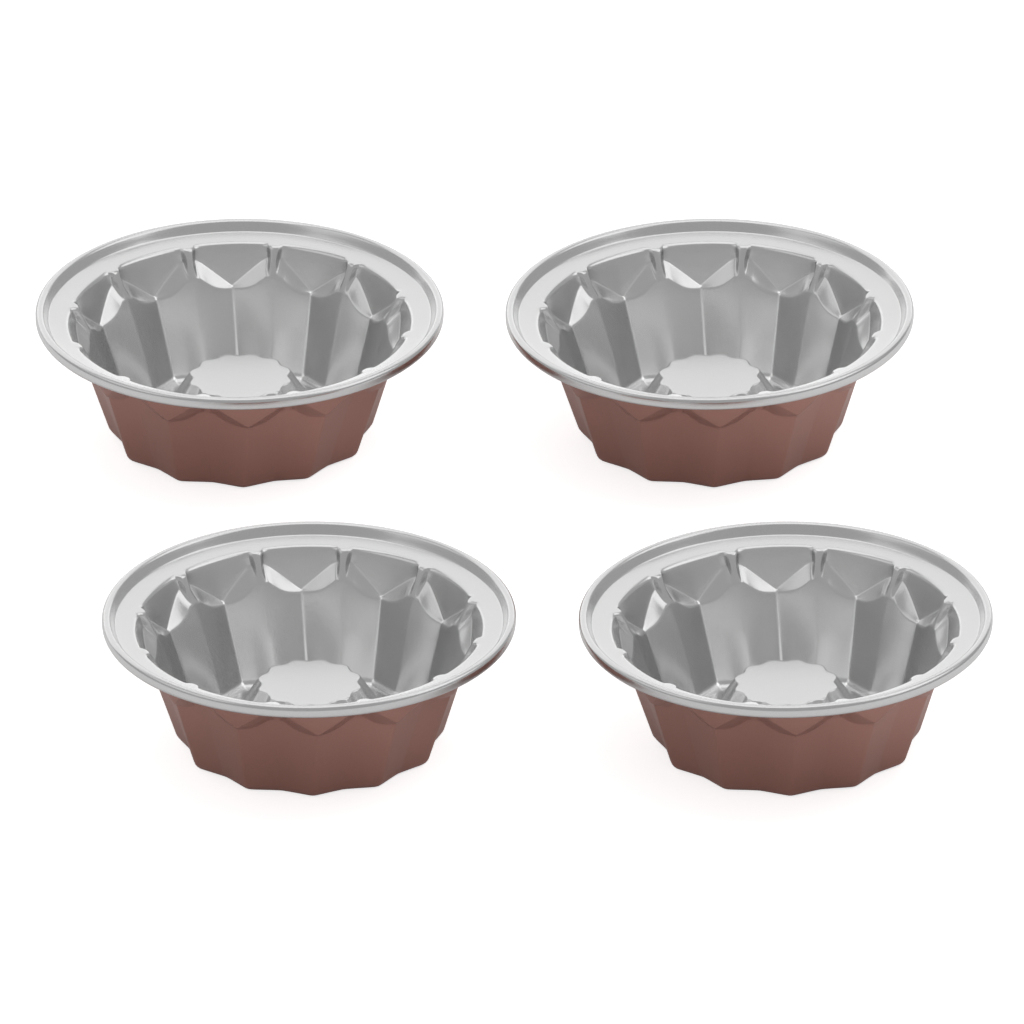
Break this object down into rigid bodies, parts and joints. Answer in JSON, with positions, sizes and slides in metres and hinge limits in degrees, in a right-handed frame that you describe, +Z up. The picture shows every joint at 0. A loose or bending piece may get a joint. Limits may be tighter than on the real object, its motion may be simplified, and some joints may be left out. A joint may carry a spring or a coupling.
{
  "type": "fluted mini cake pan set",
  "caption": "Set of small round fluted baking pans with a raised centre boss, pointed lobes, swagged band and a rolled rim, set out in staggered rows.",
  "frame": {"origin": "middle of the set of four pans, on the plane that they stand on", "axes": "+Z up out of the pans, +Y from the front row to the back row, +X from the left pans to the right pans"},
  "size_m": [0.2946, 0.3392, 0.043],
  "materials": {
    "pressed_sheet": "satin silver non-stick coat inside and over the rolled rim, bronze coat outside below the rim",
    "rim_wire": "plain drawn steel wire inside the rolled rim"
  },
  "bodies": {
    "root": {"back_left_pan": "pressed_sheet", "back_left_rim_wire": "rim_wire"},
    "back_right_body": {"back_right_pan": "pressed_sheet", "back_right_rim_wire": "rim_wire"},
    "front_left_body": {"front_left_pan": "pressed_sheet", "front_left_rim_wire": "rim_wire"},
    "front_right_body": {"front_right_pan": "pressed_sheet", "front_right_rim_wire": "rim_wire"}
  },
  "joints": [
    {"name": "back_right_lift", "type": "slide", "parent": "root", "child": "back_right_body", "axis": [0, 0, 1], "range_m": [0, 0.08]},
    {"name": "front_left_lift", "type": "slide", "parent": "root", "child": "front_left_body", "axis": [0, 0, 1], "range_m": [0, 0.08]},
    {"name": "front_right_lift", "type": "slide", "parent": "root", "child": "front_right_body", "axis": [0, 0, 1], "range_m": [0, 0.08]}
  ]
}
